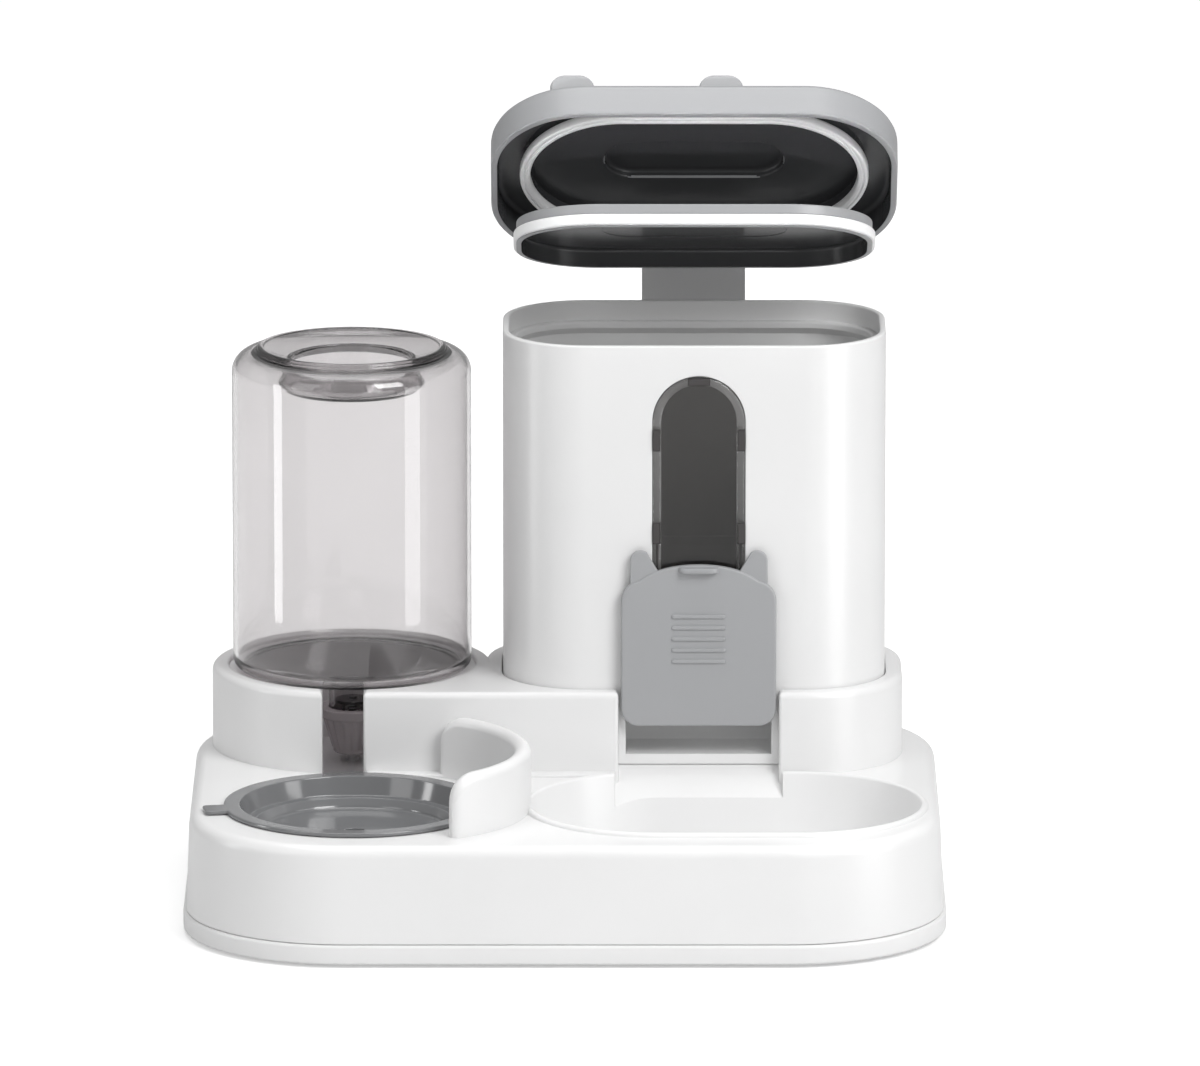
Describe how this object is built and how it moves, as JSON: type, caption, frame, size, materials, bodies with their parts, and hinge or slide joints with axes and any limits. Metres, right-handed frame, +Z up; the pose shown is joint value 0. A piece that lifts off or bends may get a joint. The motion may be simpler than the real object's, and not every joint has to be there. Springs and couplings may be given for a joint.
{
  "type": "gravity pet feeder",
  "caption": "Gravity pet feeder: base tray with food and water bowls, food bin with sliding gate and two hinged lids, upturned water bottle with a valve cap.",
  "frame": {"origin": "on the floor, under the middle of the base tray", "axes": "+Z up, +X to the right as seen from the front, +Y to the back, so the bowls face -Y"},
  "size_m": [0.363, 0.293, 0.388],
  "materials": {
    "white_plastic": "satin gloss moulded ABS, white",
    "grey_plastic": "satin moulded ABS, mid grey",
    "dark_plastic": "satin moulded plastic, dark smoky grey",
    "smoky_clear": "clear smoky grey blow-moulded plastic",
    "clear_pane": "clear polished plastic",
    "soft_seal": "matt silicone, light grey",
    "rubber": "matt rubber, dark grey",
    "steel": "plain drawn steel"
  },
  "bodies": {
    "base": {"base_tray": "white_plastic", "bottom_cover": "white_plastic", "rubber_foot_1": "rubber", "rubber_foot_2": "rubber", "rubber_foot_3": "rubber", "rubber_foot_4": "rubber", "cover_screw_1": "steel", "cover_screw_2": "steel", "cover_screw_3": "steel", "cover_screw_4": "steel", "cover_screw_5": "steel", "cover_screw_6": "steel"},
    "bowl": {"water_bowl": "grey_plastic"},
    "bottle": {"water_bottle": "smoky_clear"},
    "cap": {"bottle_cap": "dark_plastic", "cap_gasket": "soft_seal", "valve_cage": "dark_plastic", "valve_spring": "steel"},
    "valve": {"valve_stem": "dark_plastic", "valve_seal": "rubber"},
    "bin": {"food_bin": "white_plastic", "bin_hopper": "white_plastic", "window_pane": "clear_pane", "window_clip_1": "dark_plastic", "window_clip_2": "dark_plastic", "window_clip_3": "dark_plastic", "window_clip_4": "dark_plastic", "window_clip_5": "dark_plastic"},
    "gate": {"feed_gate": "grey_plastic"},
    "hinge": {"hinge_plate": "grey_plastic", "hinge_pin": "steel"},
    "outer_cover": {"outer_lid": "grey_plastic", "outer_lid_seal": "soft_seal"},
    "inner_cover": {"inner_lid": "grey_plastic", "inner_lid_seal": "soft_seal"}
  },
  "joints": [
    {"name": "bowl_lift", "type": "slide", "parent": "base", "child": "bowl", "axis": [0, 0, 1], "range_m": [0, 0.03]},
    {"name": "bottle_lift", "type": "slide", "parent": "base", "child": "bottle", "axis": [0, 0, 1], "range_m": [0, 0.06]},
    {"name": "cap_turn", "type": "hinge", "parent": "bottle", "child": "cap", "pos_m": [-0.103, 0.072, 0.07], "axis": [0, 0, 1], "range_deg": [0, 270]},
    {"name": "valve_stem_slide", "type": "slide", "parent": "cap", "child": "valve", "axis": [0, 0, 1], "range_m": [-0.0041, 0], "deforming": ["valve_spring"]},
    {"name": "bin_lift", "type": "slide", "parent": "base", "child": "bin", "axis": [0, 0, 1], "range_m": [0, 0.06]},
    {"name": "gate_slide", "type": "slide", "parent": "bin", "child": "gate", "axis": [0, 0, 1], "range_m": [-0.017, 0.022]},
    {"name": "hinge_plate_slide", "type": "slide", "parent": "bin", "child": "hinge", "axis": [0, 0, 1], "range_m": [-0.02, 0.025]},
    {"name": "outer_lid_hinge", "type": "hinge", "parent": "hinge", "child": "outer_cover", "pos_m": [0.062, 0.131, 0.287], "axis": [-1, 0, 0], "range_deg": [-46, 50]},
    {"name": "inner_lid_hinge", "type": "hinge", "parent": "hinge", "child": "inner_cover", "pos_m": [0.062, 0.131, 0.287], "axis": [-1, 0, 0], "range_deg": [-23.5, 25.6]}
  ],
  "couplings": [
    {"joint": "valve_stem_slide", "follows": "bottle_lift", "ratio": -0.066667},
    {"joint": "inner_lid_hinge", "follows": "outer_lid_hinge", "ratio": 0.51087}
  ]
}
